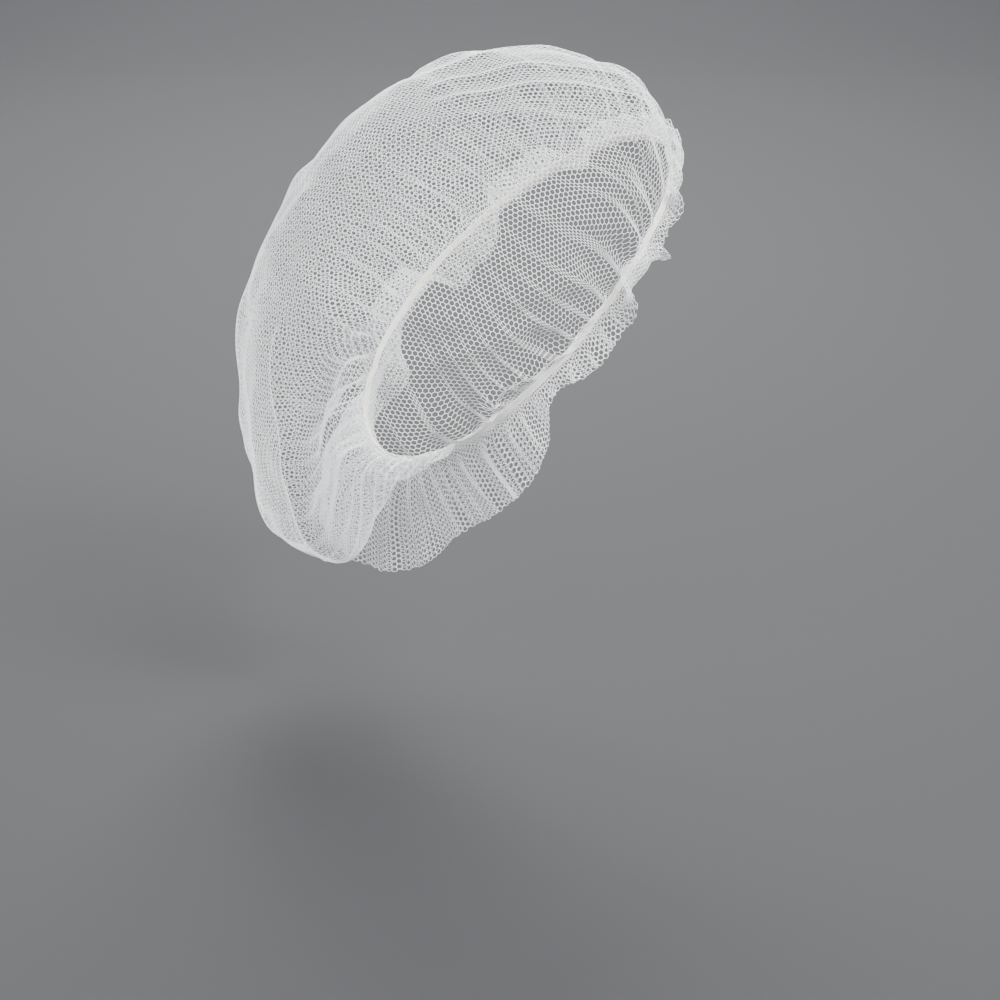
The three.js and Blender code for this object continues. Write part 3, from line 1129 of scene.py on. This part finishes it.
    def _crinkle(self, points: np.ndarray) -> np.ndarray:
        """Give the slight unevenness of limp net."""
        x, y, z = (points[..., axis] / 10.0 for axis in range(3))
        waves = np.sin(1.9 * x + 1.3 * np.sin(1.1 * z)) + np.sin(2.3 * y + 1.7 * np.sin(0.9 * x))
        return self.crinkle_height * (waves + np.sin(2.1 * z + 1.2 * np.sin(1.3 * y)))

    def _read(self, flat: np.ndarray) -> tuple[np.ndarray, np.ndarray]:
        """Give the angle round the band and the share of the way to the top of flat places."""
        angles = np.linspace(0.0, FULL_TURN, 721)
        turned = np.arctan2(flat[:, 1], flat[:, 0]) % FULL_TURN
        theta = np.interp(turned, self.band.sight_angle(angles), angles)
        return theta, 1.0 - np.hypot(flat[:, 0], flat[:, 1]) / self.form.length_at(theta)

    def place(self, flat: np.ndarray) -> tuple[np.ndarray, np.ndarray]:
        """Place flat net on the crown, laid out round its top."""
        theta, share = self._read(flat)
        above_band = share * self.form.length_at(theta) - self.band.casing
        pleated = self.pleating.taken_up(theta, NetField.read(self.fullness, theta, share), above_band)
        points, normals = self.form.sample(pleated, share)
        return self.band.in_frame(points), self.band.in_frame(normals)

    def build(self, honeycomb: Honeycomb) -> None:
        """Make the crown's panels of net."""
        width = 2.0 * float(self.form.lengths.max())
        flat = FlatNet(honeycomb, width, width, self.lattice_turn)
        theta, share = self._read(flat.centres)
        for panel in Panel:
            name = f"crown_{panel.name.lower()}"
            flat.cut(name, (share > 0.0) & panel.holds(theta), self.place, "crown_net")


@dataclass
class Ruffle:
    """The doubled ruffle below the band, which hangs at the nape and is turned up in places.

    Its net goes down to a fold and comes back up inside. Flat, it is one straight strip.
    """

    band: BandLoop
    pleating: Pleating
    strip_fullness: float = 1.55
    strip_start: float = math.radians(225.0)
    columns: int = 2160
    rows: int = 120
    pleats: int = 36
    pleat_height: float = 1.3
    layer_offset: float = 0.55
    lean_changes: tuple = (0.25, 0.75)
    lean_grown_at: float = 0.2
    off_elastic_by: float = 4.0
    arc: np.ndarray = field(init=False)
    theta: np.ndarray = field(init=False)
    fullness: np.ndarray = field(init=False)
    form: NetField = field(init=False)

    def __post_init__(self) -> None:
        """Work out the ruffle's form from its depth and leans."""
        self.theta = np.linspace(0.0, FULL_TURN, self.columns, endpoint=False)
        depth, near_lean, free_lean = self._shape(np.degrees(self.theta)).T
        share = np.linspace(0.0, 1.0, self.rows)
        middle = (share[:-1] + share[1:]) / 2.0
        eased = smooth_step(*self.lean_changes, middle)[None, :]
        lean = np.radians(near_lean[:, None] * (1.0 - eased) + free_lean[:, None] * eased)
        lean = lean * np.minimum(1.0, middle / self.lean_grown_at)[None, :]
        step = depth[:, None] / (self.rows - 1)
        start = np.zeros((self.columns, 1))
        radius = self.band.radius(self.theta)[:, None]
        out = radius + np.cumsum(np.hstack([start, step * np.sin(lean)]), axis=1)
        down = self.band.casing / 2.0 + np.cumsum(np.hstack([start, step * np.cos(lean)]), axis=1)
        columns = np.repeat(self.theta[:, None], self.rows, axis=1)
        up = self.band.lift(self.theta)[:, None] - down
        plain = NetField(self.band.point(columns, out, up), depth, runs_down=True)
        width = plain.width_at_each()
        from_start = np.roll(width[:, 0], -round(self.strip_start / FULL_TURN * self.columns))
        arc = np.concatenate([[0.0], np.cumsum(from_start)]) * FULL_TURN / self.columns
        self.arc = arc * self.strip_fullness
        self.fullness = self.strip_fullness * width[:, :1] / width
        ridges = self.pleating.ridges(columns, self.fullness, depth[:, None] * share)
        broad = self.pleat_height * share[None, :] * np.cos(self.pleats * columns + np.sin(4 * columns))
        self.form = plain.displaced(ridges + broad)

    @staticmethod
    def _shape(angle: np.ndarray) -> np.ndarray:
        """Give the ruffle's depth and leans, where turned-up lobes take over from the hanging net."""
        shape = values_at(HANGING_RUFFLE, angle)
        for low, high, ease, *turned in TURNED_UP_LOBES:
            for seen in (angle, angle - 360.0):
                share = smooth_step(low - ease, low, seen) * (1.0 - smooth_step(high, high + ease, seen))
                shape += (np.array(turned) - shape) * share[:, None]
        return shape

    def _read(self, flat: np.ndarray) -> tuple[np.ndarray, np.ndarray]:
        """Give the angle round the band, and how far from the band as a share of the depth.

        The share is 1 at the fold and 2 where the strip is back at the band.
        """
        angles = self.strip_start + np.append(self.theta, FULL_TURN)
        theta = np.interp(flat[:, 0] + self.arc[-1] / 2.0, self.arc, angles)
        return theta, (flat[:, 1] + self.form.lengths.max()) / self.form.length_at(theta)

    def place(self, flat: np.ndarray) -> tuple[np.ndarray, np.ndarray]:
        """Place the flat strip: down the ruffle's outside, round the fold and up its inside."""
        theta, travelled = self._read(flat)
        travelled = np.clip(travelled, 0.0, 2.0)
        to_fold = np.abs(1.0 - travelled)
        depth = self.form.length_at(theta)
        fullness = NetField.read(self.fullness, theta, 1.0 - to_fold)
        pleated = self.pleating.taken_up(theta, fullness, (1.0 - to_fold) * depth)
        points, normals = self.form.sample(pleated, 1.0 - to_fold)
        round_fold = 1.0 - np.minimum(to_fold * depth / self.layer_offset, 1.0)
        offset = self.layer_offset * np.sqrt(1.0 - round_fold**2) * np.where(travelled < 1.0, 1.0, -1.0)
        near_elastic = np.maximum(1.0 - travelled * depth / self.off_elastic_by, 0.0)
        offset += (self.band.net_over - self.layer_offset) * near_elastic
        points = self.band.in_frame(points + normals * offset[:, None])
        return points, self.band.in_frame(normals)

    def build(self, honeycomb: Honeycomb) -> None:
        """Make the ruffle's panels of net."""
        flat = FlatNet(honeycomb, float(self.arc[-1]), 2.0 * float(self.form.lengths.max()), 0.0)
        theta, travelled = self._read(flat.centres)
        inside = (travelled > 0.0) & (travelled < 2.0) & (np.abs(flat.centres[:, 0]) < self.arc[-1] / 2.0)
        for panel in Panel:
            flat.cut(f"ruffle_{panel.name.lower()}", inside & panel.holds(theta), self.place, "ruffle")


@dataclass
class Elastic:
    """The narrow covered elastic, with fine ribs that run round it."""

    band: BandLoop
    material: bpy.types.Material
    columns: int = 720
    ribs: int = 4
    steps_per_rib: int = 5
    rib_depth: float = 0.14
    ripple: float = 0.12
    wander: float = 0.3
    edge_squareness: int = 6

    def build(self) -> bpy.types.Object:
        """Make the elastic.

        Returns:
            The elastic's piece.
        """
        theta = np.linspace(0.0, FULL_TURN, self.columns, endpoint=False)
        outward, upward = self._section()
        count = len(outward)
        columns = np.repeat(theta[:, None], count, axis=1)
        ripple = self.ripple * np.sin(self.columns / 8 * theta + 3.0 * np.sin(9 * theta))
        out = self.band.radius(theta)[:, None] + ripple[:, None] + outward[None, :]
        wander = self.wander * np.sin(17 * theta + 2.0 * np.sin(5 * theta))
        up = (self.band.lift(theta) + wander)[:, None] + upward[None, :]
        points = self.band.in_frame(self.band.point(columns, out, up)).reshape(-1, 3) * MM
        column, corner = np.meshgrid(np.arange(self.columns), np.arange(count), indexing="ij")
        next_column, next_corner = (column + 1) % self.columns, (corner + 1) % count
        faces = np.stack(
            [
                column * count + corner,
                next_column * count + corner,
                next_column * count + next_corner,
                column * count + next_corner,
            ],
            axis=-1,
        )
        mesh = mesh_of("elastic_band_ribbed", points, faces.reshape(-1, 4))
        mesh.materials.append(self.material)
        mesh.shade_smooth()
        return piece("elastic_band_ribbed", mesh, Slot.ELASTIC, "elastic_band")

    def _section(self) -> tuple[np.ndarray, np.ndarray]:
        """Give the ribbed section's outline, up its outside and down its inside."""
        steps = self.ribs * self.steps_per_rib
        share = np.linspace(0.0, 1.0, steps, endpoint=False) + 0.5 / steps
        rib = self.rib_depth * (0.5 - 0.5 * np.cos(FULL_TURN * self.ribs * share))
        edge = np.sqrt(1.0 - (2.0 * share - 1.0) ** self.edge_squareness)
        outside = (self.band.thickness / 2.0 - self.rib_depth + rib) * edge
        up = (share - 0.5) * self.band.width
        return np.concatenate([outside, -outside[::-1]]), np.concatenate([up, up[::-1]])


@dataclass(frozen=True)
class SoftLight:
    """A large soft light that faces the hairnet."""

    name: str
    place: tuple[float, float, float]
    size: float
    power: float
    colour: tuple[float, float, float]

    def build(self, target: Vector) -> None:
        """Hang the light and turn it to the target."""
        data = bpy.data.lights.new(self.name, "AREA")
        data.shape = "DISK"
        data.size = self.size
        data.energy = self.power
        data.color = self.colour
        light = add_object(self.name, data)
        light.location = Vector(self.place)
        light.rotation_euler = (target - light.location).to_track_quat("-Z", "Y").to_euler()


@dataclass(frozen=True)
class Studio:
    """Floor, backdrop, light and camera."""

    aim: tuple[float, float, float] = (0.0, 0.009, -0.0019)
    camera_direction: tuple[float, float, float] = (-0.887, 0.358, 0.292)
    camera_distance: float = 1.45
    lens: float = 122.7
    shift_up: float = -0.2
    floor_height: float = -0.165
    floor_reach: float = 1.1
    backdrop_radius: float = 0.5
    backdrop_height: float = 1.6
    bend_steps: int = 24
    floor_front: float = -3.0
    half_width: float = 3.0
    sensor: float = 36.0
    room_colour: tuple = (0.9, 0.93, 1.0, 1.0)
    room_strength: float = 0.6

    def build(self) -> None:
        """Set up everything round the hairnet."""
        self._camera()
        self._floor(FloorFinish().material())
        target = Vector(self.aim)
        for light in (
            SoftLight("key_light", (-1.1, -0.75, 1.35), 0.9, 100.0, (1.0, 0.99, 0.975)),
            SoftLight("fill_light", (-0.7, 1.6, 0.55), 1.3, 48.0, (0.96, 0.98, 1.0)),
            SoftLight("rim_light", (1.2, -0.4, 0.9), 0.8, 70.0, (1.0, 1.0, 1.0)),
        ):
            light.build(target)
        world = bpy.data.worlds.new("soft_room")
        world.use_nodes = True
        background = world.node_tree.nodes["Background"]
        background.inputs["Color"].default_value = self.room_colour
        background.inputs["Strength"].default_value = self.room_strength
        bpy.context.scene.world = world

    def _camera(self) -> None:
        """Place the camera at the photograph's angle."""
        data = bpy.data.cameras.new("camera")
        data.lens = self.lens
        data.sensor_width = self.sensor
        data.shift_y = self.shift_up
        camera = add_object("camera", data)
        direction = Vector(self.camera_direction).normalized()
        camera.location = Vector(self.aim) + direction * self.camera_distance
        camera.rotation_euler = (-direction).to_track_quat("-Z", "Y").to_euler()
        bpy.context.scene.camera = camera

    def _floor(self, material: bpy.types.Material) -> None:
        """Sweep a floor up into a backdrop behind the hairnet."""
        away = -Vector(self.camera_direction)
        away.z = 0.0
        away.normalize()
        across = Vector((-away.y, away.x, 0.0))
        bend = [
            (
                self.floor_reach + self.backdrop_radius * math.sin(turn),
                self.backdrop_radius * (1 - math.cos(turn)),
            )
            for turn in np.linspace(0.0, math.pi / 2.0, self.bend_steps)
        ]
        top = (self.floor_reach + self.backdrop_radius, self.backdrop_height)
        line = [(self.floor_front, 0.0), *bend, top]
        base = Vector((0.0, 0.0, self.floor_height))
        points = [
            base + away * back + Vector((0.0, 0.0, rise)) + across * side
            for back, rise in line
            for side in (-self.half_width, self.half_width)
        ]
        faces = [(2 * k, 2 * k + 1, 2 * k + 3, 2 * k + 2) for k in range(len(line) - 1)]
        mesh = mesh_of("floor", np.array(points), faces)
        mesh.materials.append(material)
        mesh.shade_smooth()
        add_object("floor", mesh)


def main() -> None:
    """Build the hairnet, its floor, light and camera."""
    logging.basicConfig(level=logging.INFO, format="%(name)s: %(message)s")
    band = BandLoop()
    pleating = Pleating()
    honeycomb = Honeycomb(NetFinish().material())
    Crown(band, pleating).build(honeycomb)
    Ruffle(band, pleating).build(honeycomb)
    Elastic(band, ElasticFinish().material()).build()
    Studio().build()


if __name__ == "__main__":
    main()
